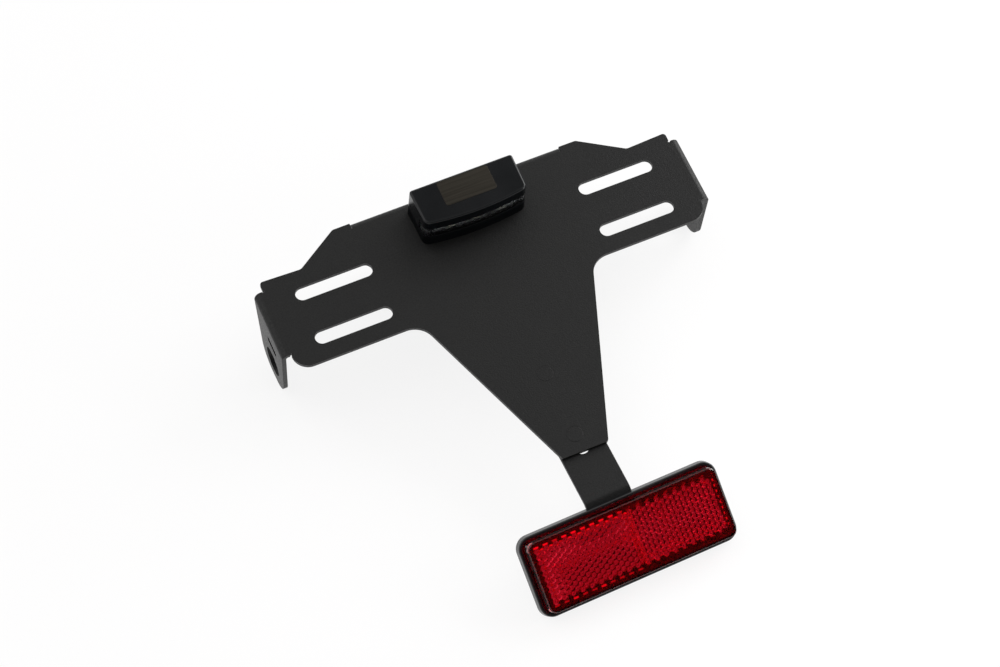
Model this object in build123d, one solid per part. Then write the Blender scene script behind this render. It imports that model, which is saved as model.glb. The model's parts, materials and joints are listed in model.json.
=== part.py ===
from build123d import *
import os
from math import cos, radians, sin, sqrt, tan

# Motorbike tail tidy: a folded sheet that carries the number plate, with a plate lamp bolted to
# its front, a fold along the top edge for the bike, an indicator tab at each side, and a red
# prismatic reflector on a slotted strip below.
#
# Frame, in millimetres: the origin is the middle of the four number-plate slots, on the front
# face of the sheet. X runs across, Y up towards the lamp, Z out of the front.

# Sheet of the carrier and its folds
sheet = 2.0
bend_inside = 1.0
bend_outside = bend_inside + sheet
relief_r = 0.5

# Outline of the flat carrier
top_edge = 35.1
top_half = 59.0
shoulder_x = 78.9
shoulder_y = 22.5
side_x = 98.2
wing_top = 23.3
wing_bottom = -22.0
neck_half = 41.1
tail_half = 10.7
tail_end = -103.4
top_corner_r = 2.5
shoulder_r = 3.0
wing_corner_r = 1.5
side_corner_r = 7.5
neck_r = 10.0
tail_corner_r = 1.5

# Number-plate slots
slot_spacing_x = 136.0
slot_spacing_y = 22.5
slot_length = 36.0
slot_width = 6.5

# Indicator tabs, folded back from the wings
tab_stand = 4.4
tab_face = side_x + tab_stand
tab_low = -13.9
tab_high = 18.7
tab_depth = 41.2
tab_slope_run = 9.5
tab_tip_r = 11.0
tab_hole_y = -1.5
tab_hole_rise = 12.7
tab_hole_z = tab_hole_rise - tab_depth
tab_hole_d = 14.0
key_length = 9.5
key_width = 3.4
key_rise = 15.3
key_z = tab_hole_z + key_rise

# Fold along the top edge, for the bike
flange_stand = 0.3
flange_face = top_edge + flange_stand
flange_inset = 8.6
flange_half = top_half - flange_inset
flange_depth = 34.0
flange_slit = 0.4
flange_corner_r = 6.0
bike_hole_spacing = 70.0
bike_hole_d = 6.5
bike_hole_rise = 14.0
bike_hole_z = bike_hole_rise - flange_depth

# Threaded fasteners, all of one size
thread_d = 5.0
thread_room = 0.3
thread_past_nut = 2.0
washer_d = 10.0
washer_h = 1.0
nut_flats = 8.0
nut_h = 4.0
nut_collar_h = 1.0
nut_chamfer = 0.6
thread_end_chamfer = 0.6

# Clinch studs that hold the strip, a little to one side of the middle
clinch_x = -1.2
clinch_spacing = 30.7
clinch_rise = 8.4
clinch_low = tail_end + clinch_rise
clinch_high = clinch_low + clinch_spacing
clinch_head_d = 7.4
clinch_head_h = 1.0

# Strip that carries the reflector, clamped a little off square by the play in its slot
strip_turn = 1.9
strip_sheet = 2.0
strip_width = 21.2
strip_over = 12.3
strip_top = clinch_high + strip_over
strip_drop = 20.4
strip_bend_y = tail_end - strip_drop
strip_bend_inside = 2.0
strip_corner_r = 3.0
strip_slot_over = 6.3
strip_slot_high = clinch_high + strip_slot_over
strip_slot_peep = 0.6
strip_slot_low = tail_end - strip_slot_peep
strip_slot_play = 1.5
strip_slot_width = thread_d + strip_slot_play
strip_face = -sheet

# Reflector, measured from the strip's sloping face and turned a little on its one stud
reflector_tilt = 28.0
reflector_turn = 0.6
reflector_aside = 0.8
reflector_width = 93.3
reflector_height = 36.6
reflector_corner_r = 6.0
reflector_drop = 1.1
strip_past_hole = 12.7
strip_tail = reflector_drop + reflector_height / 2 + strip_past_hole
tray_depth = 4.0
tray_floor = 1.6
tray_wall = 2.4
tray_draft = 5.0
tray_edge_r = 0.6
stud_head_d = 9.0
stud_head_h = 2.5
stud_ring_wall = 2.0
red_proud = 6.3
red_rim = 1.4
red_draft = 7.5
red_front = 2.5
red_wall = 1.0
red_edge = 0.45
red_spigot = 1.6
red_fit = 0.15
gate_width = 4.2
gate_height = 0.9
gate_proud = 0.3

# Corner-cube prisms on the back of the red lens, each a hexagon seen from the front
prism_flats = 2.5
prism_edge = prism_flats / sqrt(3)
prism_column = 1.5 * prism_edge
prism_margin = 1.7
prism_root = 0.3
seam_column = 1

# Ridges along the border of the prisms, which throw light from the side out of the front
ridge_slope = 51.0
ridge_end_slope = 46.0
ridge_length = 2.3
ridge_reach = 0.8
ridge_short_length = 1.4
ridge_short_reach = 0.6
ridge_end_length = 1.0
ridge_end_reach = 0.7
ridge_lean = 30.0
ridge_gap = 0.1

# Plate lamp: outline on the sheet, which draws in towards the top
lamp_half = 25.1
lamp_front_draw = 0.4
lamp_front_half = lamp_half - lamp_front_draw
lamp_back = 31.5
lamp_depth = 21.2
lamp_front = lamp_back - lamp_depth
lamp_bow = 2.3
lamp_front_r = 3.4
lamp_back_r = 1.8
lamp_draft = 1.6
lamp_wall = 1.8
lamp_floor = 1.6
base_height = 6.4
lens_height = 6.4
lens_top = base_height + lens_height
cover_band = 5.7
lamp_height = lens_top + cover_band
lens_wrap = 8.9
lens_wrap_y = lamp_front + lens_wrap
lens_inset = 0.4
lens_wall = 1.4
lip_wall = 0.8
lip_height = 1.2
lip_room = 0.1
cover_edge_r = 1.0
parting_chamfer = 0.3

# Lamp label, bare
label_width = 24.2
label_depth = 12.4
label_setback = 1.4
label_y = lamp_back - label_setback - label_depth / 2
label_sheet = 0.5
label_pocket = 0.35
label_corner_r = 1.2

# Inside the lamp
led_z = base_height + lens_height / 2
board_end_gap = 6.1
board_width = 2 * (lamp_half - board_end_gap)
board_over = 1.6
board_height = led_z + board_over - lamp_floor
board_sheet = 1.6
board_setback = 6.1
board_y = lamp_front + board_setback
board_corner_r = 0.8
guide_length = 3.0
guide_wall = 1.4
guide_height = 4.0
led_spacing = 12.0
led_count = 3
led_width = 3.5
led_height = 2.8
led_depth = 1.7
screw_side = 6.1
screw_x = lamp_half - screw_side
screw_setback = 5.3
screw_y = lamp_back - screw_setback
screw_d = 2.4
screw_room = 0.2
screw_head_d = 4.4
screw_head_h = 1.5
screw_head_recess = 0.3
screw_length = 11.0
screw_post_d = 6.0

# Lamp fixing and cable entry
lamp_head_d = 8.0
lamp_head_h = 2.0
lamp_stud_gap = 0.5
lamp_stud_x = screw_x - (screw_post_d + lamp_head_d) / 2 - lamp_stud_gap
lamp_stud_setback = 7.4
lamp_stud_y = lamp_back - lamp_stud_setback
cable_setback = 13.5
cable_y = lamp_back - cable_setback
grommet_hole_d = 8.0
grommet_bore_d = 4.6
grommet_lip = 0.9
grommet_flange_d = grommet_hole_d + 2 * grommet_lip
grommet_flange_h = 1.2
grommet_room = 0.5


def vertex_near(shape, x, y):
    """The corner of a flat shape that lies nearest to a point."""
    return shape.vertices().sort_by_distance((x, y, 0))[0]


def rounded_corners(face, corners):
    """Rounds each listed corner and its mirror image across X."""
    for x, y, radius in corners:
        for side in (1, -1):
            face = fillet(vertex_near(face, side * x, y), radius)
    return face


def drill(diameter, x, y, z_low, z_high):
    """A plain cylinder along Z, used for holes and shanks."""
    return Pos(x, y, (z_low + z_high) / 2) * Cylinder(diameter / 2, z_high - z_low)


def threaded_shank(length):
    """A bolt shank that runs down from z = 0, chamfered at its end."""
    shank = drill(thread_d, 0, 0, -length, 0)
    return chamfer(shank.edges().sort_by(Axis.Z)[0], thread_end_chamfer)


def washer():
    """A flat washer whose upper face is z = 0."""
    return drill(washer_d, 0, 0, -washer_h, 0) - drill(thread_d + thread_room, 0, 0, -washer_h, 0)


def lock_nut():
    """A hexagon nut with a locking collar, whose seat is z = 0."""
    corner_d = nut_flats * 2 / sqrt(3)
    prism = extrude(RegularPolygon(nut_flats / 2, 6, major_radius=False), -nut_h)
    barrel = chamfer(drill(corner_d, 0, 0, -nut_h, 0).edges(), nut_chamfer)
    collar = drill(nut_flats - 2 * nut_chamfer, 0, 0, -nut_h - nut_collar_h, -nut_h)
    collar = chamfer(collar.edges().sort_by(Axis.Z)[0], nut_chamfer)
    return (prism & barrel) + collar - drill(thread_d, 0, 0, -nut_h - nut_collar_h, 0)


def shank_length(grip):
    """From the clamped face through the grip, a washer and a nut, and a little past it."""
    return grip + washer_h + nut_h + nut_collar_h + thread_past_nut


# Carrier

def carrier_outline():
    """The flat sheet before its folds, with every corner rounded."""
    right = [
        (top_half, top_edge),
        (shoulder_x, shoulder_y),
        (side_x, wing_top),
        (side_x, wing_bottom),
        (neck_half, wing_bottom),
        (tail_half, tail_end),
    ]
    left = [(-x, y) for x, y in reversed(right)]
    face = make_face(Polyline(*right, *left, close=True))
    radii = (top_corner_r, shoulder_r, wing_corner_r, side_corner_r, neck_r, tail_corner_r)
    return rounded_corners(face, [(x, y, r) for (x, y), r in zip(right, radii)])


def fold_profile(start, face, depth):
    """Section of a fold: flat from start, round the bend, then down the outer face."""
    bend_x = face - bend_outside
    edges = [
        Line((start, 0), (bend_x, 0)),
        CenterArc((bend_x, -bend_outside), bend_outside, 90, -90),
        Line((face, -bend_outside), (face, -depth)),
        Line((face, -depth), (face - sheet, -depth)),
        Line((face - sheet, -depth), (face - sheet, -bend_outside)),
        CenterArc((bend_x, -bend_outside), bend_inside, 0, 90),
        Line((bend_x, -sheet), (start, -sheet)),
        Line((start, -sheet), (start, 0)),
    ]
    return make_face(edges)


def tab_shape():
    """Side view of a tab, in Y and Z: straight below, sloping above, with a round tip."""
    low_corner = (tab_low, -tab_depth)
    high_corner = (tab_high - tab_slope_run, -tab_depth)
    face = make_face(Polyline((tab_low, 0), low_corner, high_corner, (tab_high, 0), close=True))
    for corner in (low_corner, high_corner):
        face = fillet(vertex_near(face, *corner), tab_tip_r)
    return face


def tab_openings():
    """The indicator's hole and the slot for its key, in Y and Z."""
    hole = Pos(tab_hole_y, tab_hole_z) * Circle(tab_hole_d / 2)
    return hole + Pos(tab_hole_y, key_z) * Rectangle(key_length, key_width)


def tab():
    """The right-hand indicator tab, from the wing's side edge."""
    section = fold_profile(side_x - bend_outside, tab_face, tab_depth)
    run = extrude(Plane((0, tab_high, 0), (1, 0, 0), (0, -1, 0)) * section, tab_high - tab_low)
    side_view = extrude(Plane.YZ * tab_shape(), tab_face + sheet)
    return (run & side_view) - extrude(Plane.YZ * tab_openings(), tab_face + sheet)


def flange():
    """The fold along the top edge, with two holes for the bike."""
    section = fold_profile(flange_face - 2 * bend_outside, flange_face, flange_depth)
    fold = extrude(Plane.YZ * section, flange_half, both=True)
    lower_corners = fold.edges().filter_by(Axis.Y).group_by(Axis.Z)[0]
    fold = fillet(lower_corners, flange_corner_r)
    for side in (1, -1):
        hole = Pos(side * bike_hole_spacing / 2, flange_face, bike_hole_z) * Rot(90, 0, 0)
        fold -= hole * Cylinder(bike_hole_d / 2, 4 * sheet)
    return fold


def plate_slots():
    """Four long slots for the number plate's bolts."""
    places = GridLocations(slot_spacing_x, slot_spacing_y, 2, 2)
    return Sketch() + places * SlotOverall(slot_length, slot_width)


def main_plate():
    """The whole folded sheet."""
    flat = extrude(carrier_outline(), -sheet)
    gap_half = flange_half + flange_slit
    flat -= Pos(0, flange_face, 0) * Box(2 * gap_half, 2 * bend_outside, 4 * sheet)
    plate = flat + flange()
    for side in (1, -1):
        plate += tab() if side == 1 else mirror(tab(), Plane.YZ)
        for end in (tab_low, tab_high):
            plate -= drill(2 * relief_r, side * side_x, end, -2 * sheet, sheet)
        plate -= drill(thread_d + thread_room, side * lamp_stud_x, lamp_stud_y, -2 * sheet, sheet)
    plate -= extrude(plate_slots(), sheet * 2, both=True)
    plate -= drill(grommet_hole_d, 0, cable_y, -2 * sheet, sheet)
    for y in (clinch_high, clinch_low):
        plate -= drill(clinch_head_d, clinch_x, y, -clinch_head_h, sheet)
        plate -= drill(thread_d, clinch_x, y, -2 * sheet, sheet)
    return plate


# Strip and its fixing

def on_clinch_studs(piece, z):
    """A copy of a piece on each clinch stud, at one height."""
    return [Pos(clinch_x, y, z) * piece for y in (clinch_high, clinch_low)]


def strip_studs():
    """Flush clinch studs, pressed into the carrier from the front."""
    head = drill(clinch_head_d, 0, 0, -clinch_head_h, 0)
    grip = sheet - clinch_head_h + strip_sheet
    return on_clinch_studs(head + Pos(0, 0, -clinch_head_h) * threaded_shank(shank_length(grip)), 0)


def strip_washers():
    """Washers behind the strip, one on each stud."""
    return on_clinch_studs(washer(), strip_face - strip_sheet)


def strip_nuts():
    """Nuts behind the strip, one on each stud."""
    return on_clinch_studs(lock_nut(), strip_face - strip_sheet - washer_h)


def strip_place():
    """Where the strip, modelled straight below the middle, lies on its two studs."""
    pivot_y = (clinch_high + clinch_low) / 2
    return Pos(clinch_x, pivot_y, 0) * Rot(0, 0, strip_turn) * Pos(0, -pivot_y, 0)


def strip_bend():
    """Where the strip's front face leaves its bend, and the slope it follows, in Y and Z."""
    outer = strip_bend_inside + strip_sheet
    slope = radians(reflector_tilt)
    leave_y = strip_bend_y - outer * sin(slope)
    leave_z = strip_face - outer * (1 - cos(slope))
    return leave_y, leave_z


def reflector_place():
    """Plane on the strip's sloping face at the reflector's middle, Y up its height, Z out of it."""
    slope = radians(reflector_tilt)
    leave_y, leave_z = strip_bend()
    down = reflector_height / 2 + reflector_drop
    origin = (reflector_aside, leave_y - down * cos(slope), leave_z - down * sin(slope))
    turn = radians(reflector_turn)
    across = (cos(turn), -sin(turn) * cos(slope), -sin(turn) * sin(slope))
    return Plane(origin, x_dir=across, z_dir=(0, -sin(slope), cos(slope)))


def reflector_strip():
    """Flat run with the long slot, a bend, then the sloping run behind the reflector."""
    outer = strip_bend_inside + strip_sheet
    slope = radians(reflector_tilt)
    leave_y, leave_z = strip_bend()
    back = (strip_sheet * sin(slope), -strip_sheet * cos(slope))
    end = (leave_y - strip_tail * cos(slope), leave_z - strip_tail * sin(slope))
    centre = (strip_bend_y, strip_face - outer)
    section = make_face([
        Line((strip_top, strip_face), (strip_bend_y, strip_face)),
        CenterArc(centre, outer, 90, reflector_tilt),
        Line((leave_y, leave_z), end),
        Line(end, (end[0] + back[0], end[1] + back[1])),
        Line((end[0] + back[0], end[1] + back[1]), (leave_y + back[0], leave_z + back[1])),
        CenterArc(centre, strip_bend_inside, 90 + reflector_tilt, -reflector_tilt),
        Line((strip_bend_y, strip_face - strip_sheet), (strip_top, strip_face - strip_sheet)),
        Line((strip_top, strip_face - strip_sheet), (strip_top, strip_face)),
    ])
    strip = extrude(Plane.YZ * section, strip_width / 2, both=True)
    upright = strip.edges().filter_by(Axis.Z)
    strip = fillet(upright.group_by(Axis.Y)[-1], strip_corner_r)
    tail_end_face = strip.faces().sort_by(Axis.Y)[0]
    through = Axis((0, 0, 0), reflector_place().z_dir)
    strip = fillet(tail_end_face.edges().filter_by(through), strip_corner_r)
    slot = SlotOverall(strip_slot_high - strip_slot_low, strip_slot_width, rotation=90)
    strip -= Pos(0, (strip_slot_high + strip_slot_low) / 2, 0) * extrude(slot, 4 * sheet, both=True)
    hole = Cylinder((thread_d + thread_room) / 2, 4 * strip_sheet)
    return strip - reflector_place().location * hole


# Reflector

def tray_top_inset():
    """How far the tray's sides draw in from its back to its rim."""
    return tray_depth * tan(radians(tray_draft))


def reflector_outline(inset):
    """The tray's rounded rectangle, drawn in by inset."""
    return RectangleRounded(
        reflector_width - 2 * inset, reflector_height - 2 * inset, reflector_corner_r - inset)


def reflector_housing():
    """Black tray with a stud seat in its floor."""
    tray = extrude(reflector_outline(0), tray_depth, taper=tray_draft)
    tray = fillet(tray.faces().sort_by(Axis.Z)[-1].edges(), tray_edge_r)
    pocket_inset = tray_top_inset() + tray_wall
    tray -= Pos(0, 0, tray_floor) * extrude(reflector_outline(pocket_inset), tray_depth)
    ring = drill(stud_head_d + 2 * stud_ring_wall, 0, 0, 0, tray_floor + stud_head_h)
    tray = tray + ring - drill(stud_head_d, 0, 0, tray_floor, tray_depth + stud_head_h)
    return tray - drill(thread_d, 0, 0, -tray_floor, tray_depth)


def prism_count(room_x, room_y):
    """Columns of whole hexagons each side of the seam, and rows in the taller columns."""
    columns = int((room_x - prism_edge) / prism_column + 0.5)
    rows = int(2 * (room_y - prism_margin) / prism_flats)
    return columns, rows


def prism_columns(columns, flip):
    """The columns on one side of the seam, which stands a little aside of the middle."""
    return range(seam_column, columns) if flip else range(-columns, seam_column)


def column_rows(column, columns, rows):
    """Prisms in a column: every other one is one prism shorter."""
    return rows - (column + columns) % 2


def hexagon_corners(u, v):
    """Corners of a prism, counted in half edges across and half flats up."""
    return [(u + 2, v), (u + 1, v + 1), (u - 1, v + 1), (u - 2, v), (u - 1, v - 1), (u + 1, v - 1)]


def prism_middles(columns, rows, flip):
    """Middles of the prisms on one side of the seam."""
    for column in prism_columns(columns, flip):
        here = column_rows(column, columns, rows)
        for row in range(here):
            yield 3 * column, 2 * row - here + 1


def ring_edges(cells):
    """The edges round a whole field, which only one hexagon has: each corner and the next one."""
    edges = set()
    for corners in cells:
        for start, end in zip(corners, corners[1:] + corners[:1]):
            if (end, start) in edges:
                edges.remove((end, start))
            else:
                edges.add((start, end))
    return dict(sorted(edges))


def prism_field(columns, rows, base_z, flip):
    """Corner cubes on one side of the seam, pointing down from base_z, closed by walls and a flat top."""
    step = prism_flats / sqrt(6)
    first_low = 0 if flip else 1

    def point(corner, z):
        return ((corner[0] + 1.5) * prism_edge / 2, corner[1] * prism_flats / 2, z)

    def flat(points):
        return Face(Wire.make_polygon(points, close=True))

    faces = []
    cells = []
    heights = {}
    for middle in prism_middles(columns, rows, flip):
        corners = hexagon_corners(*middle)
        cells.append(corners)
        for k in range(6):
            heights[corners[k]] = base_z - step if k % 2 == first_low else base_z
        apex = point(middle, base_z - 2 * step)
        for k in range(first_low, 6, 2):
            trio = [corners[k], corners[(k + 1) % 6], corners[(k + 2) % 6]]
            faces.append(flat([apex] + [point(corner, heights.get(corner, base_z)) for corner in trio]))
    ring = ring_edges(cells)
    top_z = base_z + prism_root
    for start, end in ring.items():
        foot = [point(start, heights[start]), point(end, heights[end])]
        faces.append(flat(foot + [point(end, top_z), point(start, top_z)]))
    start = next(iter(ring))
    loop = [start]
    while ring[loop[-1]] != start:
        loop.append(ring[loop[-1]])
    faces.append(flat([point(corner, top_z) for corner in loop]))
    return Solid(Shell(faces))


def border_ridge(length, reach, slope):
    """A ridge along X under a flat ceiling at Z 0, sloping down towards +Y to an upright end."""
    foot = reach * tan(radians(slope))
    section = Polyline((0, 0), (reach, -foot), (reach, prism_root), (0, prism_root), close=True)
    return extrude(Plane.YZ * make_face(section), length / 2, both=True)


def border_ridges(columns, rows):
    """Ridges at the ends of the columns, leaning at the right, and beside the last column there."""
    tall = border_ridge(ridge_length, ridge_reach, ridge_slope)
    short = border_ridge(ridge_short_length, ridge_short_reach, ridge_slope)
    ridges = []
    for flip in (False, True):
        for column in prism_columns(columns, flip):
            here = column_rows(column, columns, rows)
            x = (column + 0.5) * prism_column
            y = here * prism_flats / 2 + ridge_gap
            if here == rows and flip:
                ridges.append(Pos(x, y, 0) * Rot(0, 0, ridge_lean) * tall)
            elif here == rows:
                ridges.append(Pos(x, y, 0) * tall)
                ridges.append(Pos(x, -y, 0) * Rot(0, 0, 180) * tall)
            elif not flip:
                ridges.append(Pos(x, y, 0) * short)
    dot = Rot(0, 0, -90) * border_ridge(ridge_end_length, ridge_end_reach, ridge_end_slope)
    x = (columns - 0.5) * prism_column + prism_edge + ridge_gap
    here = column_rows(columns - 1, columns, rows)
    for row in range(here):
        ridges.append(Pos(x, (row - (here - 1) / 2) * prism_flats, 0) * dot)
    return ridges


def red_inset():
    """Inset of the red lens's foot on the tray's rim."""
    return tray_top_inset() + red_rim


def reflector_lens():
    """Red cap seated on the tray's rim, with a spigot inside it, its gate mark and two prism fields."""
    foot = Pos(0, 0, tray_depth) * reflector_outline(red_inset())
    cap = extrude(foot, red_proud, taper=red_draft)
    cap = chamfer(cap.faces().sort_by(Axis.Z)[-1].edges(), red_edge)
    spigot_inset = tray_top_inset() + tray_wall + red_fit
    spigot = extrude(Pos(0, 0, tray_depth - red_spigot) * reflector_outline(spigot_inset), red_spigot)
    draw_in = red_inset() + red_proud * tan(radians(red_draft)) + red_wall
    hollow_top = tray_depth + red_proud - red_front
    hollow = extrude(reflector_outline(draw_in), hollow_top)
    gate_y = reflector_height / 2 - red_inset()
    gate = Pos(0, gate_y, tray_depth + gate_height / 2) * Box(gate_width, 2 * gate_proud, gate_height)
    cap = cap + spigot + gate - hollow
    columns, rows = prism_count(reflector_width / 2 - draw_in, reflector_height / 2 - draw_in)
    base_z = hollow_top - prism_root / 2
    cap = cap + prism_field(columns, rows, base_z, False) + prism_field(columns, rows, base_z, True)
    return cap + [Pos(0, 0, hollow_top) * ridge for ridge in border_ridges(columns, rows)]


def reflector_stud():
    """Stud whose head lies in the tray's seat."""
    head = drill(stud_head_d, 0, 0, tray_floor, tray_floor + stud_head_h)
    return head + Pos(0, 0, tray_floor) * threaded_shank(shank_length(tray_floor + strip_sheet))


def reflector_washer():
    """Washer behind the strip."""
    return Pos(0, 0, -strip_sheet) * washer()


def reflector_nut():
    """Nut behind the strip."""
    return Pos(0, 0, -strip_sheet - washer_h) * lock_nut()


# Lamp

def lamp_outline(inset):
    """The lamp's foot on the sheet, bowed at the front, drawn in by inset."""
    front_corner = lamp_front + lamp_bow
    face = make_face([
        Line((lamp_half, lamp_back), (-lamp_half, lamp_back)),
        Line((-lamp_half, lamp_back), (-lamp_front_half, front_corner)),
        ThreePointArc((-lamp_front_half, front_corner), (0, lamp_front), (lamp_front_half, front_corner)),
        Line((lamp_front_half, front_corner), (lamp_half, lamp_back)),
    ])
    face = rounded_corners(face, [
        (lamp_half, lamp_back, lamp_back_r),
        (lamp_front_half, front_corner, lamp_front_r),
    ])
    return offset(face, -inset) if inset > 0 else face


def lamp_block(z_low, z_high, inset):
    """A slice of the lamp's drawn-in body, offset inwards by inset."""
    drawn_in = inset + z_low * tan(radians(lamp_draft))
    return extrude(Pos(0, 0, z_low) * lamp_outline(drawn_in), z_high - z_low, taper=lamp_draft)


def lamp_window():
    """The band round the front where the clear lens shows."""
    reach = 2 * lamp_half
    height = lens_top - base_height
    return Pos(0, lens_wrap_y - reach / 2, base_height + height / 2) * Box(2 * reach, reach, height)


def lamp_hollow():
    """Room inside the cover."""
    return lamp_block(base_height, lamp_height - lamp_wall, lamp_wall)


def lamp_cover():
    """Opaque cap with a label pocket and two screw bosses."""
    cap = lamp_block(base_height, lamp_height, 0)
    cap = fillet(cap.faces().sort_by(Axis.Z)[-1].edges(), cover_edge_r)
    cap = cap - lamp_hollow() - lamp_window()
    pilot_top = screw_head_recess + screw_head_h + screw_length
    for side in (1, -1):
        boss = drill(screw_post_d, side * screw_x, screw_y, base_height, lamp_height - lamp_wall / 2)
        cap += boss & lamp_block(base_height, lamp_height, lamp_wall / 2)
        cap -= drill(screw_d, side * screw_x, screw_y, base_height, pilot_top)
    return cap - Pos(0, label_y, lamp_height - label_pocket) * extrude(label_outline(), label_sheet)


def lamp_lens():
    """Clear band that wraps the front and the front corners."""
    band = lamp_block(base_height, lens_top, lens_inset)
    band -= lamp_block(base_height, lens_top, lens_inset + lens_wall)
    return band & lamp_window()


def board_guides():
    """Two slotted posts in the base that hold the board's ends."""
    posts = []
    for side in (1, -1):
        x = side * (board_width - guide_length) / 2
        post = Box(guide_length, board_sheet + 2 * guide_wall, guide_height)
        groove = Box(guide_length, board_sheet, guide_height)
        posts.append(Pos(x, board_y, lamp_floor + guide_height / 2) * (post - groove))
    return posts


def lamp_base():
    """Moulded tray under the cover, with a lip inside its rim."""
    tray = lamp_block(0, base_height, 0)
    rim = tray.faces().sort_by(Axis.Z)[-1].edges()
    tray = chamfer(rim, parting_chamfer)
    tray -= lamp_block(lamp_floor, base_height, lamp_wall)
    lip_inset = lamp_wall + lip_room
    lip = lamp_block(lamp_floor, base_height + lip_height, lip_inset)
    tray += lip - lamp_block(lamp_floor, base_height + lip_height, lip_inset + lip_wall)
    tray += lamp_block(lamp_floor, base_height, lamp_wall) - lamp_block(lamp_floor, base_height, lip_inset)
    for post in board_guides():
        tray += post
    head_seat = screw_head_recess + screw_head_h
    for side in (1, -1):
        x = side * screw_x
        tray -= drill(screw_post_d + 2 * lip_room, x, screw_y, base_height, base_height + lip_height)
        tray += drill(screw_post_d, x, screw_y, 0, base_height)
        tray -= drill(screw_d + screw_room, x, screw_y, 0, base_height)
        tray -= drill(screw_head_d + screw_room, x, screw_y, 0, head_seat)
        tray -= drill(thread_d, side * lamp_stud_x, lamp_stud_y, 0, lamp_floor)
    return tray - drill(grommet_flange_d + grommet_room, 0, cable_y, 0, lamp_floor)


def label_outline():
    """The label's rounded rectangle."""
    return RectangleRounded(label_width, label_depth, label_corner_r)


def lamp_label():
    """Bare metal label in the cover's pocket."""
    return Pos(0, label_y, lamp_height - label_pocket) * extrude(label_outline(), label_sheet)


def lamp_circuit_board():
    """Upright board behind the lens, standing in its guides."""
    outline = RectangleRounded(board_width, board_height, board_corner_r)
    upright = Plane((0, board_y - board_sheet / 2, lamp_floor + board_height / 2), (1, 0, 0), (0, 1, 0))
    return extrude(upright * outline, board_sheet)


def lamp_leds():
    """Light-emitting diodes on the board's front."""
    y = board_y - board_sheet / 2 - led_depth / 2
    first = -led_spacing * (led_count - 1) / 2
    return [Pos(first + led_spacing * k, y, led_z) * Box(led_width, led_depth, led_height)
            for k in range(led_count)]


def lamp_cover_screws():
    """Self-tapping screws up through the base into the cover's bosses."""
    seat = screw_head_recess + screw_head_h
    screws = []
    for side in (1, -1):
        head = drill(screw_head_d, side * screw_x, screw_y, screw_head_recess, seat)
        screws.append(head + drill(screw_d, side * screw_x, screw_y, seat, seat + screw_length))
    return screws


def lamp_studs():
    """Round-headed studs seated on the base's floor, down through the sheet."""
    studs = []
    for side in (1, -1):
        head = drill(lamp_head_d, 0, 0, lamp_floor, lamp_floor + lamp_head_h)
        stud = head + Pos(0, 0, lamp_floor) * threaded_shank(shank_length(lamp_floor + sheet))
        studs.append(Pos(side * lamp_stud_x, lamp_stud_y, 0) * stud)
    return studs


def lamp_washers():
    """Washers behind the sheet."""
    return [Pos(side * lamp_stud_x, lamp_stud_y, -sheet) * washer() for side in (1, -1)]


def lamp_nuts():
    """Nuts behind the sheet."""
    return [Pos(side * lamp_stud_x, lamp_stud_y, -sheet - washer_h) * lock_nut() for side in (1, -1)]


def lamp_grommet():
    """Rubber bush that lines the cable hole in the sheet."""
    bush = drill(grommet_hole_d, 0, cable_y, -sheet, 0)
    bush += drill(grommet_flange_d, 0, cable_y, 0, grommet_flange_h)
    bush += drill(grommet_flange_d, 0, cable_y, -sheet - grommet_flange_h, -sheet)
    return bush - drill(grommet_bore_d, 0, cable_y, -2 * sheet, sheet)


def solids(shape):
    """The solids of a shape or of a list of shapes."""
    if isinstance(shape, list):
        return [solid for item in shape for solid in item.solids()]
    return shape.solids()


def save(name, shape):
    """Writes one named piece, whatever number of solids it has."""
    pieces = solids(shape)
    whole = pieces[0] if len(pieces) == 1 else Compound(children=pieces)
    export_step(whole, os.path.join("parts", name + ".step"))


def main():
    os.makedirs("parts", exist_ok=True)
    strip = strip_place()
    slope = strip * reflector_place().location
    save("main_plate", main_plate())
    save("strip_studs", strip_studs())
    save("strip_washers", strip_washers())
    save("strip_nuts", strip_nuts())
    save("reflector_strip", strip * reflector_strip())
    save("reflector_housing", slope * reflector_housing())
    save("reflector_lens", slope * reflector_lens())
    save("reflector_stud", slope * reflector_stud())
    save("reflector_washer", slope * reflector_washer())
    save("reflector_nut", slope * reflector_nut())
    save("lamp_base", lamp_base())
    save("lamp_lens", lamp_lens())
    save("lamp_cover", lamp_cover())
    save("lamp_label", lamp_label())
    save("lamp_circuit_board", lamp_circuit_board())
    save("lamp_leds", lamp_leds())
    save("lamp_cover_screws", lamp_cover_screws())
    save("lamp_studs", lamp_studs())
    save("lamp_washers", lamp_washers())
    save("lamp_nuts", lamp_nuts())
    save("lamp_grommet", lamp_grommet())


main()
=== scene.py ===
import json
from math import cos, pi, radians, sin, sqrt

import bmesh
import bpy
from mathutils import Matrix, Vector


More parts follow.
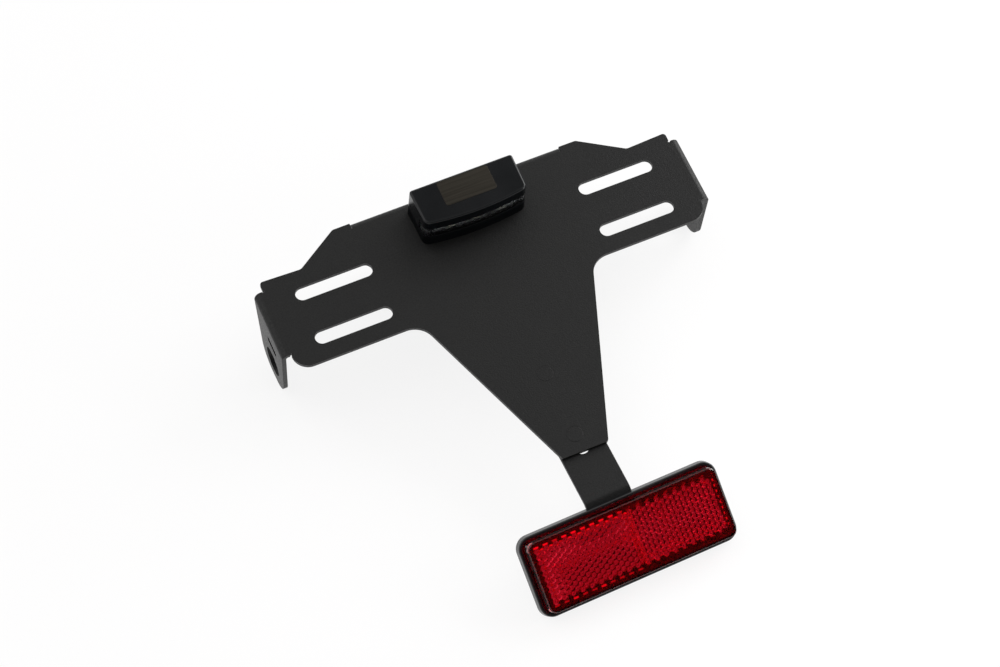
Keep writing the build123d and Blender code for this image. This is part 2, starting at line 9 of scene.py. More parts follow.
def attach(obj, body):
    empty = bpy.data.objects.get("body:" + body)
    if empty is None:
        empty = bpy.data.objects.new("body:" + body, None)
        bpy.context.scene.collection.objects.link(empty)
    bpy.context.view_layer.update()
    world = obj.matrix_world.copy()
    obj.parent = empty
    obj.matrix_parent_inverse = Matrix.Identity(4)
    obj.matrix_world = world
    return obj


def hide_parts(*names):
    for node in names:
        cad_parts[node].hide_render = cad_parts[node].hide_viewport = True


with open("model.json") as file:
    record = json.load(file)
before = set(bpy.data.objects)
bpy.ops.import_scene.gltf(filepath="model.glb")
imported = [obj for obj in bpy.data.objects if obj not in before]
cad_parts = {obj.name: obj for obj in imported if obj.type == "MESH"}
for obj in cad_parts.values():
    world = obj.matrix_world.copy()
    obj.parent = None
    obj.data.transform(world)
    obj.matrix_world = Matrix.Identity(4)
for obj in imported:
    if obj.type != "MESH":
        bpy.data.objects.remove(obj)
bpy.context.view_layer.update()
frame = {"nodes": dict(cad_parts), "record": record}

# The tail tidy as it looks: a finish on every node, threads on the studs, eased edges on the sheets
# and fasteners, and a red lens with rounded prisms, lying in a white tent.
#
# Lengths are in metres, in the part's own frame: X across, Y up towards the lamp, Z out of the front.
mm = 0.001

# Camera, as the photo was taken: over the front, from the left and below
photo_eye = Vector((-246.0, -442.6, 979.5)) * mm
photo_aim = Vector((-11.35, -39.47, 0.0)) * mm
photo_roll = radians(6.765)
photo_lens_mm = 90.2
sensor_mm = 36.0
nearest_seen = 10 * mm

# Floor: the part lies on its two tab tips and the reflector's lower back edge
floor_tilt = radians(7.55)
floor_touch = Vector((0.0, -1.4, -41.2)) * mm
floor_shift = Vector((0.0, -60.0, 0.0)) * mm
floor_radius = 420 * mm
floor_around = 128
# Painted bounce light: the floor's faint pink tint stands for red light thrown from the reflector into its
# shadow
floor_tone = (0.92, 0.905, 0.905, 1.0)
floor_roughness = 0.9
floor_shadow_near = 230 * mm
floor_shadow_far = 380 * mm
floor_whiteness = 0.84

# White tent: brightness on the camera's side and at the back, where along Y it changes from one to the
# other, and the heights between which it takes over from the white horizon
tent_front = 0.32
tent_back = 1.52
tent_change = (-0.30, 0.35)
tent_start = (0.28, 0.52)

# Dim patches in the tent, where the sheet and the lens would mirror it; inner and outer are in degrees
sheet_patch = dict(middle=(0.20, 0.50, 0.85), inner=10, outer=19, level=0.15)
lens_patch = dict(middle=(0.216, -0.54, 0.813), inner=9, outer=20, level=0.05)

# Softboxes, both at the right
key_softbox = dict(direction=(0.90, 0.20, 0.40), distance=1.0, width=0.6, height=0.6, radiance=5.0)
low_softbox = dict(direction=(0.80, -0.45, 0.40), distance=0.6, width=0.22, height=0.22, radiance=7.0)

# The reflector's slope on its strip, and the strip's turn on its studs
reflector_tilt = radians(28.0)
strip_turn = radians(1.9)
square_axis = Vector((0.0, -sin(reflector_tilt), cos(reflector_tilt)))
reflector_axis = Matrix.Rotation(strip_turn, 3, "Z") @ square_axis
sheet_axis = Vector((0.0, 0.0, 1.0))

# Reflector lens: front chamfer, thickness of its front, depth to which its sides look deep red, how
# strongly it bends light, seam, and rounding of the prisms' edges
red_edge = 0.45 * mm
red_front = 2.5 * mm
red_deep = 1.3 * red_front
red_bend = 1.49
seam_x = 2.165 * mm
seam_reach = 0.8 * mm
prism_rounding = 0.07 * mm
prism_sharp_angle = radians(20)

# How the lens's faces are told apart: by how far their normals lean to the front, from -1 to 1
upright_lean = 0.3
drafted_lean = 0.05
cube_lean = -1 / sqrt(3)
cube_room = 0.02
ridge_leans = (-0.75, -0.6)
lens_finishes = (
    "reflector_red", "red_sides", "red_walls", "red_border", "red_prisms", "red_ridges", "red_seam",
)
smooth_finishes = ("reflector_red", "red_sides", "red_walls")
prism_finishes = ("red_prisms", "red_seam")

# Lamp window: where along X its left corner clears from frosted
frosted_x = (-24 * mm, -17 * mm)

# Studs: heads as in the CAD nodes, shanks with a coarse M5 thread; the flat of its crest and its flank
# are shares of half a pitch
thread_d = 5.0 * mm
thread_pitch = 0.8 * mm
thread_depth = 0.43 * mm
thread_crest = 0.12
thread_flank = 0.68
thread_end_chamfer = 0.6 * mm
thread_tip_step = 0.1 * mm
thread_around = 32
thread_along = 8
clinch_head_d = 7.4 * mm
clinch_head_h = 1.0 * mm
reflector_head_d = 9.0 * mm
reflector_head_h = 2.5 * mm
lamp_head_d = 8.0 * mm
lamp_head_h = 2.0 * mm
head_edge = 0.22 * mm
head_edge_middle = 0.3 * head_edge
head_around = 72

# Eased edges
coat_edge = 0.28 * mm
label_edge = 0.12 * mm
fastener_edge = 0.16 * mm
sharp_angle = radians(32)
flat_angle = radians(0.4)
join_gap = 0.001 * mm
eased_fasteners = (
    "strip_nuts", "reflector_nut", "lamp_nuts", "strip_washers", "reflector_washer", "lamp_washers",
)

# Nodes whose finish differs from their slot's; the lamp's base takes a darker, duller copy of the lamp's
# black as painted shade at its foot
own_finish = {"lamp_base": "lamp_base_painted_shade"}

# Grain: ranges that the values of a noise mostly lie in, the range they are spread to, and how much
# the coarse grain adds to the fine grain's height
noise_range = (0.3, 0.7)
fine_range = (0.35, 0.65)
full_range = (0.0, 1.0)
coarse_share = 0.6


# Node helpers

def feed(tree, socket, value):
    """Links an output to a socket, or sets the socket to a plain value."""
    if isinstance(value, bpy.types.NodeSocket):
        tree.links.new(value, socket)
    else:
        socket.default_value = value


def set_inputs(tree, node, **inputs):
    """Feeds some of a node's inputs by name, where _ stands for a space."""
    for name, value in inputs.items():
        feed(tree, node.inputs[name.replace("_", " ")], value)


def add_node(tree, kind, **inputs):
    """A new node with some of its inputs fed."""
    node = tree.nodes.new(kind)
    set_inputs(tree, node, **inputs)
    return node


def own_place(tree):
    """The place of a point in its object's frame, which for every piece is the part's."""
    return tree.nodes.new("ShaderNodeTexCoord").outputs["Object"]


def math_node(tree, operation, *values):
    """The result of a Math node."""
    node = tree.nodes.new("ShaderNodeMath")
    node.operation = operation
    for socket, value in zip(node.inputs, values):
        feed(tree, socket, value)
    return node.outputs["Value"]


def vector_node(tree, operation, *values):
    """A Vector Math node."""
    node = tree.nodes.new("ShaderNodeVectorMath")
    node.operation = operation
    for socket, value in zip(node.inputs, values):
        feed(tree, socket, value)
    return node


def mapped(tree, value, source, target):
    """A value carried from one range to another, clamped."""
    node = add_node(
        tree, "ShaderNodeMapRange", Value=value,
        From_Min=source[0], From_Max=source[1], To_Min=target[0], To_Max=target[1],
    )
    return node.outputs["Result"]


def mixed_colour(tree, factor, low, high):
    """A colour between two, by a factor."""
    node = tree.nodes.new("ShaderNodeMix")
    node.data_type = "RGBA"
    feed(tree, node.inputs["Factor"], factor)
    sockets = [socket for socket in node.inputs if socket.type == "RGBA"]
    for socket, colour in zip(sockets, (low, high)):
        feed(tree, socket, (*colour, 1.0) if isinstance(colour, tuple) else colour)
    return next(socket for socket in node.outputs if socket.type == "RGBA")


def noise(tree, place, scale, detail, roughness):
    """Noise over a place; scale is in features per metre."""
    node = add_node(
        tree, "ShaderNodeTexNoise", Vector=place, Scale=scale, Detail=detail, Roughness=roughness,
    )
    return node.outputs["Fac"]


def bumped(tree, height, strength, depth):
    """A normal with a bump of that real depth."""
    return add_node(tree, "ShaderNodeBump", Strength=strength, Distance=depth, Height=height).outputs[0]


def shader_group(name, inputs, outputs):
    """An empty shader node group with named sockets, and its input and output nodes."""
    group = bpy.data.node_groups.new(name, "ShaderNodeTree")
    for label, value in inputs.items():
        socket = group.interface.new_socket(label, in_out="INPUT", socket_type="NodeSocketFloat")
        socket.default_value = value
    for label in outputs:
        group.interface.new_socket(label, in_out="OUTPUT", socket_type="NodeSocketFloat")
    return group, group.nodes.new("NodeGroupInput"), group.nodes.new("NodeGroupOutput")


def place_group(tree, group, **inputs):
    """A group in a material, with its own values."""
    node = tree.nodes.new("ShaderNodeGroup")
    node.node_tree = group
    set_inputs(tree, node, **inputs)
    return node


# Shared effects

def grain_group():
    """Fine grain of a coated or moulded skin, with slow mottling under it."""
    group, source, sink = shader_group(
        "surface_grain",
        inputs={"Fine": 2200.0, "Coarse": 600.0, "Mottle": 30.0},
        outputs=("Height", "Mottling", "Speckle"),
    )
    place = own_place(group)
    fine = noise(group, place, source.outputs["Fine"], detail=3.0, roughness=0.6)
    coarse = noise(group, place, source.outputs["Coarse"], detail=2.0, roughness=0.5)
    mottling = noise(group, place, source.outputs["Mottle"], detail=3.0, roughness=0.55)
    set_inputs(
        group, sink,
        Height=math_node(group, "ADD", fine, math_node(group, "MULTIPLY", coarse, coarse_share)),
        Mottling=mapped(group, mottling, noise_range, full_range),
        Speckle=mapped(group, fine, fine_range, full_range),
    )
    return group


def brushed_group():
    """Fine parallel lines along X, broken up along their length, with broader streaks among them."""
    group, source, sink = shader_group(
        "brushed_lines",
        inputs={"Across": 9000.0, "Along": 160.0},
        outputs=("Lines", "Streaks"),
    )
    across = source.outputs["Across"]
    stretch = add_node(group, "ShaderNodeCombineXYZ", X=source.outputs["Along"], Y=across, Z=across)
    scaled = vector_node(group, "MULTIPLY", own_place(group), stretch.outputs[0]).outputs[0]
    lines = noise(group, scaled, scale=1.0, detail=2.0, roughness=0.6)
    streaks = noise(group, scaled, scale=0.18, detail=3.0, roughness=0.6)
    set_inputs(group, sink, Lines=lines, Streaks=mapped(group, streaks, noise_range, full_range))
    return group


# Finishes

def new_material(name):
    """A material with only its output and one Principled shader."""
    material = bpy.data.materials.new(name)
    material.use_nodes = True
    tree = material.node_tree
    tree.nodes.clear()
    shader = tree.nodes.new("ShaderNodeBsdfPrincipled")
    add_node(tree, "ShaderNodeOutputMaterial", Surface=shader.outputs[0])
    return material, tree, shader


def mottled(name, grain, skin, dark, light, smooth, rough, bump=None, **plain):
    """A finish whose tone and roughness follow the mottling of its skin."""
    material, tree, shader = new_material(name)
    grained = place_group(tree, grain, **skin)
    mottling = grained.outputs["Mottling"]
    set_inputs(
        tree, shader,
        Base_Color=mixed_colour(tree, mottling, dark, light),
        Roughness=mapped(tree, mottling, full_range, (smooth, rough)),
        **plain,
    )
    if bump:
        set_inputs(tree, shader, Normal=bumped(tree, grained.outputs["Height"], **bump))
    return material


def powder_coat(grain):
    """Fine-textured matt black coat, duller in its pits, and darker there as painted shade."""
    material, tree, shader = new_material("powder_coat")
    skin = place_group(tree, grain, Fine=1500.0, Coarse=480.0, Mottle=22.0)
    speckle = skin.outputs["Speckle"]
    # Painted shade: the tone falls to this in the pits of the grain, where its fine bump is low
    painted_pit_shade = (0.0004, 0.0004, 0.0004)
    dark, light = (0.0044, 0.0044, 0.0042), (0.0064, 0.0063, 0.0060)
    dull, bright = 0.54, 0.34
    tone = mixed_colour(tree, skin.outputs["Mottling"], dark, light)
    set_inputs(
        tree, shader,
        Base_Color=mixed_colour(tree, speckle, painted_pit_shade, tone),
        Roughness=mapped(tree, speckle, full_range, (dull, bright)),
        Specular_IOR_Level=0.30,
        Normal=bumped(tree, skin.outputs["Height"], strength=0.8, depth=0.12 * mm),
    )
    return material


def lamp_black(grain):
    """Satin black moulding with a faint spark-eroded skin."""
    return mottled(
        "lamp_black", grain,
        skin=dict(Fine=5200.0, Coarse=1500.0, Mottle=40.0),
        dark=(0.0010, 0.0015, 0.0021),
        light=(0.0016, 0.0022, 0.0029),
        smooth=0.22,
        rough=0.28,
        bump=dict(strength=0.35, depth=0.02 * mm),
        Specular_IOR_Level=0.30,
    )


def lamp_base_painted_shade(grain):
    """The lamp's base, of the same moulding but matt, and darker with little shine: painted shade where it
    sits on the sheet.
    """
    return mottled(
        "lamp_base_painted_shade", grain,
        skin=dict(Fine=3200.0, Coarse=900.0, Mottle=40.0),
        # Painted shade: these tones, darker than the lamp's own black, and the low shine below stand for
        # the shade at its foot
        dark=(0.0008, 0.0010, 0.0014),
        light=(0.0013, 0.0016, 0.0020),
        smooth=0.48,
        rough=0.58,
        bump=dict(strength=0.4, depth=0.03 * mm),
        Specular_IOR_Level=0.06,
    )


def lamp_clear(grain):
    """Clear rippled moulding of the lamp's window, frosted at its left corner."""
    material, tree, shader = new_material("lamp_clear")
    skin = place_group(tree, grain, Fine=900.0, Coarse=420.0, Mottle=80.0)
    dark, light = (0.86, 0.89, 0.92), (0.95, 0.97, 0.98)
    frosted, clear = 0.4, 0.06
    least, most = 0.4, 1.0
    place = add_node(tree, "ShaderNodeSeparateXYZ", Vector=own_place(tree))
    frost = mapped(tree, place.outputs["X"], frosted_x, (frosted, clear))
    speckle = mapped(tree, skin.outputs["Speckle"], full_range, (least, most))
    set_inputs(
        tree, shader,
        Base_Color=mixed_colour(tree, skin.outputs["Mottling"], dark, light),
        Roughness=math_node(tree, "MULTIPLY", frost, speckle),
        Transmission_Weight=1.0,
        IOR=1.58,
        Normal=bumped(tree, skin.outputs["Height"], strength=1.0, depth=0.35 * mm),
    )
    return material


def label_metal(brushed):
    """Dark brown brushed metal, bare."""
    material, tree, shader = new_material("label_metal")
    brush = place_group(tree, brushed, Across=5200.0, Along=130.0)
    lines = brush.outputs["Lines"]
    dark, light = (0.023, 0.0205, 0.0165), (0.040, 0.036, 0.0295)
    smooth, rough = 0.42, 0.58
    set_inputs(
        tree, shader,
        Base_Color=mixed_colour(tree, brush.outputs["Streaks"], dark, light),
        Metallic=1.0,
        Roughness=mapped(tree, lines, noise_range, (smooth, rough)),
        Normal=bumped(tree, lines, strength=0.4, depth=0.02 * mm),
    )
    return material


def circuit_board(grain):
    """White solder mask."""
    return mottled(
        "circuit_board", grain,
        skin=dict(Fine=3000.0, Coarse=800.0, Mottle=150.0),
        dark=(0.78, 0.79, 0.77),
        light=(0.88, 0.89, 0.87),
        smooth=0.35,
        rough=0.5,
    )


def led_resin(grain):
    """Pale yellow resin of the diodes."""
    return mottled(
        "led", grain,
        skin=dict(Fine=3500.0, Coarse=900.0, Mottle=500.0),
        dark=(0.80, 0.76, 0.58),
        light=(0.90, 0.87, 0.74),
        smooth=0.25,
        rough=0.4,
    )


def rubber(grain):
    """Matt black rubber of the cable bush."""
    return mottled(
        "rubber", grain,
        skin=dict(Fine=2600.0, Coarse=700.0, Mottle=120.0),
        dark=(0.012, 0.012, 0.012),
        light=(0.022, 0.022, 0.021),
        smooth=0.7,
        rough=0.85,
        bump=dict(strength=0.4, depth=0.03 * mm),
    )


def zinc_steel(grain, brushed):
    """Bright zinc plate, a little cloudy."""
    material, tree, shader = new_material("zinc_steel")
    skin = place_group(tree, grain, Fine=4000.0, Coarse=900.0, Mottle=260.0)
    brush = place_group(tree, brushed, Across=6000.0, Along=300.0)
    dark, light = (0.50, 0.51, 0.53), (0.68, 0.69, 0.70)
    smooth, rough = 0.24, 0.40
    set_inputs(
        tree, shader,
        Base_Color=mixed_colour(tree, skin.outputs["Mottling"], dark, light),
        Metallic=1.0,
        Roughness=mapped(tree, brush.outputs["Lines"], noise_range, (smooth, rough)),
        Normal=bumped(tree, skin.outputs["Height"], strength=0.25, depth=0.01 * mm),
    )
    return material


def reflector_black(grain):
    """Gloss black moulding of the reflector's tray."""
    return mottled(
        "reflector_black", grain,
        skin=dict(Fine=3000.0, Coarse=700.0, Mottle=60.0),
        dark=(0.004, 0.004, 0.0045),
        light=(0.006, 0.006, 0.0065),
        smooth=0.22,
        rough=0.30,
        bump=dict(strength=0.2, depth=0.01 * mm),
    )


# Finishes of the red lens

def clear_red(name, grain, clear=1.0, bend=red_bend, **tones):
    """Clear red moulding of the lens, from dark to light and from smooth to rough."""
    return mottled(
        name, grain,
        skin=dict(Fine=2500.0, Coarse=500.0, Mottle=260.0),
        Transmission_Weight=clear,
        IOR=bend,
        **tones,
    )


def reflector_red(grain):
    """The polished front of the red lens."""
    return clear_red(
        "reflector_red", grain,
        dark=(0.93, 0.006, 0.022),
        light=(0.99, 0.009, 0.028),
        smooth=0.02,
        rough=0.05,
    )


def behind_front(tree):
    """How far a point of the lens lies behind its front."""
    points = frame["nodes"]["reflector_lens"].data.vertices
    front = max(point.co.dot(reflector_axis) for point in points)
    along = vector_node(tree, "DOT_PRODUCT", own_place(tree), reflector_axis).outputs["Value"]
    return math_node(tree, "SUBTRACT", front, along)


def red_sides(grain):
    """Its drafted sides with little shine, deep red beside the solid front and clearer where thin."""
    material = clear_red(
        "red_sides", grain,
        dark=(0.78, 0.03, 0.07),
        light=(0.88, 0.05, 0.10),
        smooth=0.03,
        rough=0.08,
        bend=1.03,
    )
    deep_red = (0.02, 0.0004, 0.001)
    tree = material.node_tree
    colour = tree.nodes["Principled BSDF"].inputs["Base Color"]
    thin_red = colour.links[0].from_socket
    solid = mapped(tree, behind_front(tree), (red_edge, red_deep), (1.0, 0.0))
    feed(tree, colour, mixed_colour(tree, solid, thin_red, deep_red))
    return material


def red_walls(grain):
    """The upright walls inside it, thin and pale, which let side light through to the ridges."""
    return clear_red(
        "red_walls", grain,
        dark=(0.97, 0.72, 0.78),
        light=(1.0, 0.84, 0.88),
        smooth=0.03,
        rough=0.08,
        bend=1.12,
    )


def red_border(grain):
    """The plain border round its prisms, dim and frosted."""
    return clear_red(
        "red_border", grain,
        dark=(0.32, 0.002, 0.007),
        light=(0.46, 0.004, 0.011),
        smooth=0.2,
        rough=0.35,
        clear=0.88,
    )


def red_prisms(grain):
    """The facets of its prisms, a little uneven."""
    return clear_red(
        "red_prisms", grain,
        dark=(0.74, 0.004, 0.016),
        light=(0.94, 0.009, 0.028),
        smooth=0.05,
        rough=0.11,
    )


def red_ridges(grain):
    """Its border ridges, which throw light from the sides out of the front."""
    return clear_red(
        "red_ridges", grain,
        dark=(0.97, 0.30, 0.40),
        light=(1.0, 0.40, 0.50),
        smooth=0.02,
        rough=0.06,
    )


def red_seam(grain):
    """The facets along its seam, frosted where the two halves of the mould meet."""
    return clear_red(
        "red_seam", grain,
        dark=(0.97, 0.010, 0.030),
        light=(1.0, 0.022, 0.05),
        smooth=0.15,
        rough=0.3,
        clear=0.66,
    )


def finishes():
    """Every finish by name: the record's slots first, then those of single pieces and faces."""
    grain = grain_group()
    brushed = brushed_group()
    return {
        "powder_coat": powder_coat(grain),
        "zinc_steel": zinc_steel(grain, brushed),
        "lamp_black": lamp_black(grain),
        "lamp_clear": lamp_clear(grain),
        "label_metal": label_metal(brushed),
        "circuit_board": circuit_board(grain),
        "led": led_resin(grain),
        "rubber": rubber(grain),
        "reflector_black": reflector_black(grain),
        "reflector_red": reflector_red(grain),
        "lamp_base_painted_shade": lamp_base_painted_shade(grain),
        "red_sides": red_sides(grain),
        "red_walls": red_walls(grain),
        "red_border": red_border(grain),
        "red_prisms": red_prisms(grain),
        "red_ridges": red_ridges(grain),
        "red_seam": red_seam(grain),
    }


def dress_nodes(finish):
    """Gives each CAD node the finish of its slot, or its own."""
    for part in frame["record"]["subparts"]:
        mesh = frame["nodes"][part["node"]].data
        mesh.materials.clear()
        mesh.materials.append(finish[own_finish.get(part["node"], part["material_slot"])])


# Pieces

def slot_of(node_name):
    """The record's material slot of a CAD node."""
    return next(part["material_slot"] for part in frame["record"]["subparts"] if part["node"] == node_name)


def add_piece(name, mesh, node_name, finish, more_finishes=()):
    """Puts a mesh in the scene in place of a CAD node, with that node's finish first."""
    piece = bpy.data.objects.new(name, mesh)
    bpy.context.scene.collection.objects.link(piece)
    for finish_name in (slot_of(node_name), *more_finishes):
        mesh.materials.append(finish[finish_name])
    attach(piece, "root")
    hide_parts(node_name)
    return piece


def joined_shape(node_name):
    """A CAD node's shape to work on, with its points joined and its flat faces whole."""
    shape = bmesh.new()
    shape.from_mesh(frame["nodes"][node_name].data)
    bmesh.ops.remove_doubles(shape, verts=shape.verts, dist=join_gap)
    bmesh.ops.dissolve_limit(shape, angle_limit=flat_angle, verts=shape.verts, edges=shape.edges)
    return shape


def mesh_of(shape, name):
    """The mesh of a finished shape."""
    mesh = bpy.data.meshes.new(name)
    shape.to_mesh(mesh)
    shape.free()
    return mesh


def round_over(piece, width, segments, chosen="ANGLE"):
    """Rounds over a piece's sharp edges, or those with a weight."""
    bevel = piece.modifiers.new("eased_edges", "BEVEL")
    bevel.width = width
    bevel.segments = segments
    bevel.limit_method = chosen
    bevel.angle_limit = sharp_angle
    return bevel


def eased_copy(node_name, name, width, finish):
    """A copy of a CAD node with its sharp edges rounded over."""
    shape = joined_shape(node_name)
    for face in shape.faces:
        face.smooth = True
    mesh = mesh_of(shape, name)
    mesh.set_sharp_from_angle(angle=sharp_angle)
    piece = add_piece(name, mesh, node_name, finish)
    round_over(piece, width, segments=3).harden_normals = True


def eased_node(node_name, width):
    """Rounds over the sharp edges of a CAD node where it stands."""
    node = frame["nodes"][node_name]
    node.modifiers.new("joined_faces", "WELD").merge_threshold = join_gap
    round_over(node, width, segments=2)


# Reflector lens

def lens_frame(shape):
    """A frame on the lens's front face: origin in its middle, X along its length."""
    out = max(shape.faces, key=lambda face: face.calc_area()).normal.copy()
    front = {face for face in shape.faces if face.normal.dot(out) > cos(flat_angle)}
    rim = [edge for edge in shape.edges if len(front.intersection(edge.link_faces)) == 1]
    longest = max(rim, key=lambda edge: edge.calc_length())
    left, right = sorted((vert.co for vert in longest.verts), key=lambda point: point.x)
    across = (right - left).normalized()
    turn = Matrix((across, out.cross(across), out)).transposed()
    local = [turn.transposed() @ vert.co for face in front for vert in face.verts]
    middle = Vector((min(p[k] for p in local) + max(p[k] for p in local)) / 2 for k in range(3))
    return Matrix.Translation(turn @ middle) @ turn.to_4x4()


def lens_finish(middle, normal):
    """Which of the lens's finishes a face has, by its middle and normal in the lens's own frame."""
    if abs(normal.z) < upright_lean and middle.z < -red_edge:
        return "red_sides" if normal.z > drafted_lean else "red_walls"
    if abs(normal.z - cube_lean) < cube_room:
        return "red_seam" if abs(middle.x - seam_x) < seam_reach else "red_prisms"
    if ridge_leans[0] < normal.z < ridge_leans[1]:
        return "red_ridges"
    return "red_border" if normal.z < 0 else "reflector_red"


def finish_lens_faces(shape):
    """Gives each of the lens's faces its finish, and weight to the edges between prism facets."""
    to_lens = lens_frame(shape).inverted()
    for face in shape.faces:
        middle = to_lens @ face.calc_center_median()
        name = lens_finish(middle, to_lens.to_3x3() @ face.normal)
        face.material_index = lens_finishes.index(name)
        face.smooth = name in smooth_finishes
    weight = shape.edges.layers.float.new("bevel_weight_edge")
    for edge in shape.edges:
        if all(lens_finishes[face.material_index] in prism_finishes for face in edge.link_faces):
            edge[weight] = 1.0


def moulded_lens(finish):
    """The red lens with rounded prism edges, and finishes for its front, sides, prisms, ridges and seam."""
    shape = joined_shape("reflector_lens")
    finish_lens_faces(shape)
    mesh = mesh_of(shape, "reflector_lens_moulded")
    # The node's stored normals don't fit the joined faces
    stored_normals = mesh.attributes.get("custom_normal")
    if stored_normals:
        mesh.attributes.remove(stored_normals)
    mesh.set_sharp_from_angle(angle=prism_sharp_angle)
    piece = add_piece("reflector_lens_moulded", mesh, "reflector_lens", finish, lens_finishes[1:])
    round_over(piece, prism_rounding, segments=1, chosen="WEIGHT").use_clamp_overlap = False


# Studs

def linked_points(first):
    """A point and all that its edges lead to, in the order met."""
    met = {first}
    points = [first]
    for point in points:
        for edge in point.link_edges:
            other = edge.other_vert(point)
            if other not in met:
                met.add(other)
                points.append(other)
    return points


def node_solids(node_name):
    """The points of each separate solid of a CAD node."""
    shape = joined_shape(node_name)
    met = set()
    solids = []
    for first in shape.verts:
        if first not in met:
            solid = linked_points(first)
            met.update(solid)
            solids.append([vert.co.copy() for vert in solid])
    shape.free()
    return solids


def seat_of(points, axis):
    """A frame on a solid's axis with its origin at the front end, and the solid's length along it."""
    turn = axis.to_track_quat("Z", "Y").to_matrix()
    local = [turn.inverted() @ point for point in points]
    low = Vector(min(point[k] for point in local) for k in range(3))
    high = Vector(max(point[k] for point in local) for k in range(3))
    origin = Vector(((low.x + high.x) / 2, (low.y + high.y) / 2, high.z))
    return Matrix.Translation(turn @ origin) @ turn.to_4x4(), high.z - low.z


def add_ring_of_points(shape, place, radii, height):
    """A ring of points round the axis, each with its own radius."""
    ring = []
    for k, radius in enumerate(radii):
        angle = 2 * pi * k / len(radii)
        ring.append(shape.verts.new(place @ Vector((radius * cos(angle), radius * sin(angle), height))))
    return ring


def skin_rings(shape, rings, material):
    """Smooth faces from each ring to the next, and a flat face on the first and last."""
    for upper, lower in zip(rings, rings[1:]):
        count = len(upper)
        for k in range(count):
            face = shape.faces.new((upper[k], lower[k], lower[(k + 1) % count], upper[(k + 1) % count]))
            face.smooth = True
            face.material_index = material
    for end in (rings[0], reversed(rings[-1])):
        shape.faces.new(end).material_index = material


def add_head(shape, place, diameter, height, material):
    """A round stud head with an eased front edge, from the frame's origin back."""
    radius = diameter / 2
    profile = [
        (radius - 2 * head_edge, 0.0),
        (radius - head_edge, 0.0),
        (radius - head_edge_middle, -head_edge_middle),
        (radius, -head_edge),
        (radius, -height),
    ]
    rings = [add_ring_of_points(shape, place, [r] * head_around, z) for r, z in profile]
    skin_rings(shape, rings, material)


def thread_radius(angle, along):
    """Radius of the thread at an angle and a depth along the axis."""
    turn = (along / thread_pitch + angle / (2 * pi)) % 1.0
    from_crest = abs(2 * turn - 1)
    flank = min(max((from_crest - thread_crest) / thread_flank, 0.0), 1.0)
    return thread_d / 2 - thread_depth * flank


def add_thread(shape, place, start, end):
    """A threaded shank between two depths behind the frame's origin, with a chamfered tip."""
    steps = round((end - start) / thread_pitch * thread_along)
    core = thread_d / 2 - thread_depth - thread_tip_step
    rings = []
    for step in range(steps + 1):
        along = start + (end - start) * step / steps
        limit = max(core, thread_d / 2 - max(0.0, along - end + thread_end_chamfer))
        angles = [2 * pi * k / thread_around for k in range(thread_around)]
        radii = [min(limit, thread_radius(angle, along)) for angle in angles]
        rings.append(add_ring_of_points(shape, place, radii, -along))
    skin_rings(shape, rings, material=0)


def threaded_studs(node_name, name, axis, head_d, head_h, finish, coated=False):
    """The studs of a CAD node with real threads; a head flush in the sheet is coated with it."""
    shape = bmesh.new()
    for points in node_solids(node_name):
        place, length = seat_of(points, axis)
        add_head(shape, place, head_d, head_h, material=1 if coated else 0)
        add_thread(shape, place, head_h, length)
    mesh = mesh_of(shape, name)
    mesh.set_sharp_from_angle(angle=sharp_angle)
    add_piece(name, mesh, node_name, finish, ("powder_coat",) if coated else ())


# Stage

def floor_white():
    """Plain pale floor, faintly pink as painted red bounce light, that shows whiter than it is lit, and
    plain white towards its rim.
    """
    material, tree, shader = new_material("studio_floor")
    set_inputs(tree, shader, Base_Color=floor_tone, Roughness=floor_roughness, Specular_IOR_Level=0.0)
    away = vector_node(tree, "LENGTH", own_place(tree)).outputs["Value"]
    fade = mapped(tree, away, (floor_shadow_near, floor_shadow_far), (floor_whiteness, 1.0))
    rays = tree.nodes.new("ShaderNodeLightPath")
    seen = rays.outputs["Is Camera Ray"]
    for kind in ("Is Glossy Ray", "Is Transmission Ray"):
        seen = math_node(tree, "MAXIMUM", seen, rays.outputs[kind])
    white = add_node(tree, "ShaderNodeEmission", Strength=1.0)
    blend = tree.nodes.new("ShaderNodeMixShader")
    whiteness = math_node(tree, "MULTIPLY", seen, fade)
    for socket, value in zip(blend.inputs, (whiteness, shader.outputs[0], white.outputs[0])):
        feed(tree, socket, value)
    set_inputs(tree, tree.nodes["Material Output"], Surface=blend.outputs[0])
    return material


def studio_floor():
    """A pale round floor under the part, leaning as the part rests, that keeps its faint shadow."""
    shape = bmesh.new()
    bmesh.ops.create_circle(shape, cap_ends=True, segments=floor_around, radius=floor_radius)
    bmesh.ops.translate(shape, verts=shape.verts, vec=floor_shift)
    mesh = mesh_of(shape, "studio_floor")
    mesh.materials.append(floor_white())
    floor = bpy.data.objects.new("studio_floor", mesh)
    floor.matrix_world = Matrix.Translation(floor_touch) @ Matrix.Rotation(-floor_tilt, 4, "X")
    bpy.context.scene.collection.objects.link(floor)


def dim_patch(tree, place, middle, inner, outer, level):
    """A factor that falls to a level inside a round patch of the tent, and is 1 outside it."""
    towards = vector_node(tree, "DOT_PRODUCT", place, Vector(middle).normalized()).outputs["Value"]
    return mapped(tree, towards, (cos(radians(outer)), cos(radians(inner))), (1.0, level))


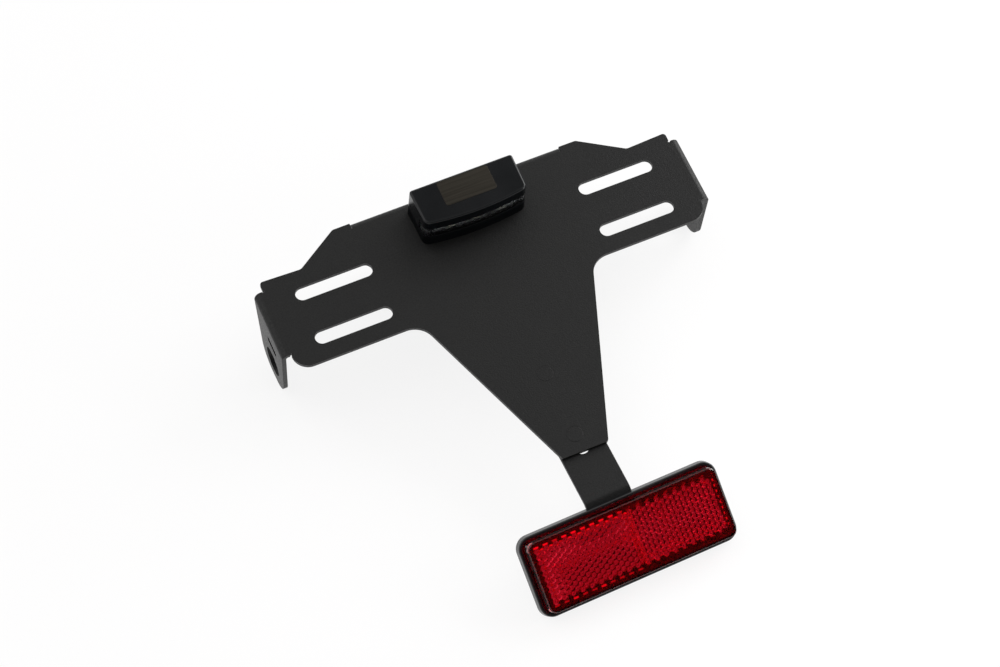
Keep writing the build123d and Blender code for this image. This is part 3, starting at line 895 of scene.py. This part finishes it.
def studio_world():
    """A white tent, dimmer on the camera's side and in two patches."""
    world = bpy.data.worlds.new("studio_world")
    world.use_nodes = True
    tree = world.node_tree
    tree.nodes.clear()
    place = tree.nodes.new("ShaderNodeTexCoord").outputs["Generated"]
    parts = add_node(tree, "ShaderNodeSeparateXYZ", Vector=place)
    tent = mapped(tree, parts.outputs["Y"], tent_change, (tent_front, tent_back))
    for patch in (sheet_patch, lens_patch):
        tent = math_node(tree, "MULTIPLY", tent, dim_patch(tree, place, **patch))
    strength = mapped(tree, parts.outputs["Z"], tent_start, (1.0, tent))
    light = add_node(tree, "ShaderNodeBackground", Color=(1.0, 1.0, 1.0, 1.0), Strength=strength)
    add_node(tree, "ShaderNodeOutputWorld", Surface=light.outputs[0])
    bpy.context.scene.world = world


def softbox(name, direction, distance, width, height, radiance):
    """A soft rectangular lamp that looks at the part."""
    data = bpy.data.lights.new(name, "AREA")
    data.shape = "RECTANGLE"
    data.size = width
    data.size_y = height
    data.energy = radiance * pi * width * height
    lamp = bpy.data.objects.new(name, data)
    towards = Vector(direction).normalized()
    lamp.location = towards * distance
    lamp.rotation_mode = "QUATERNION"
    lamp.rotation_quaternion = towards.to_track_quat("Z", "Y")
    bpy.context.scene.collection.objects.link(lamp)


def photo_camera():
    """The photo's viewing angle."""
    data = bpy.data.cameras.new("photo_camera")
    data.sensor_width = sensor_mm
    data.lens = photo_lens_mm
    data.clip_start = nearest_seen
    camera = bpy.data.objects.new("photo_camera", data)
    look = photo_aim - photo_eye
    turn = look.to_track_quat("-Z", "Y").to_matrix().to_4x4()
    camera.matrix_world = Matrix.Translation(photo_eye) @ turn @ Matrix.Rotation(photo_roll, 4, "Z")
    bpy.context.scene.collection.objects.link(camera)
    bpy.context.scene.camera = camera


def dress_part():
    """Every piece of the part, with its finish and fine detail."""
    finish = finishes()
    dress_nodes(finish)
    eased_copy("main_plate", "main_plate_coated", coat_edge, finish)
    eased_copy("reflector_strip", "reflector_strip_coated", coat_edge, finish)
    eased_copy("lamp_label", "lamp_label_brushed", label_edge, finish)
    threaded_studs(
        "strip_studs", "strip_studs_threaded", sheet_axis,
        clinch_head_d, clinch_head_h, finish, coated=True,
    )
    threaded_studs(
        "lamp_studs", "lamp_studs_threaded", sheet_axis,
        lamp_head_d, lamp_head_h, finish,
    )
    threaded_studs(
        "reflector_stud", "reflector_stud_threaded", reflector_axis,
        reflector_head_d, reflector_head_h, finish,
    )
    moulded_lens(finish)
    for node_name in eased_fasteners:
        eased_node(node_name, fastener_edge)


def set_stage():
    """Floor, tent, softboxes and camera."""
    studio_floor()
    studio_world()
    softbox("key_softbox", **key_softbox)
    softbox("low_softbox", **low_softbox)
    photo_camera()
    bpy.context.scene.view_settings.view_transform = "Standard"


dress_part()
set_stage()
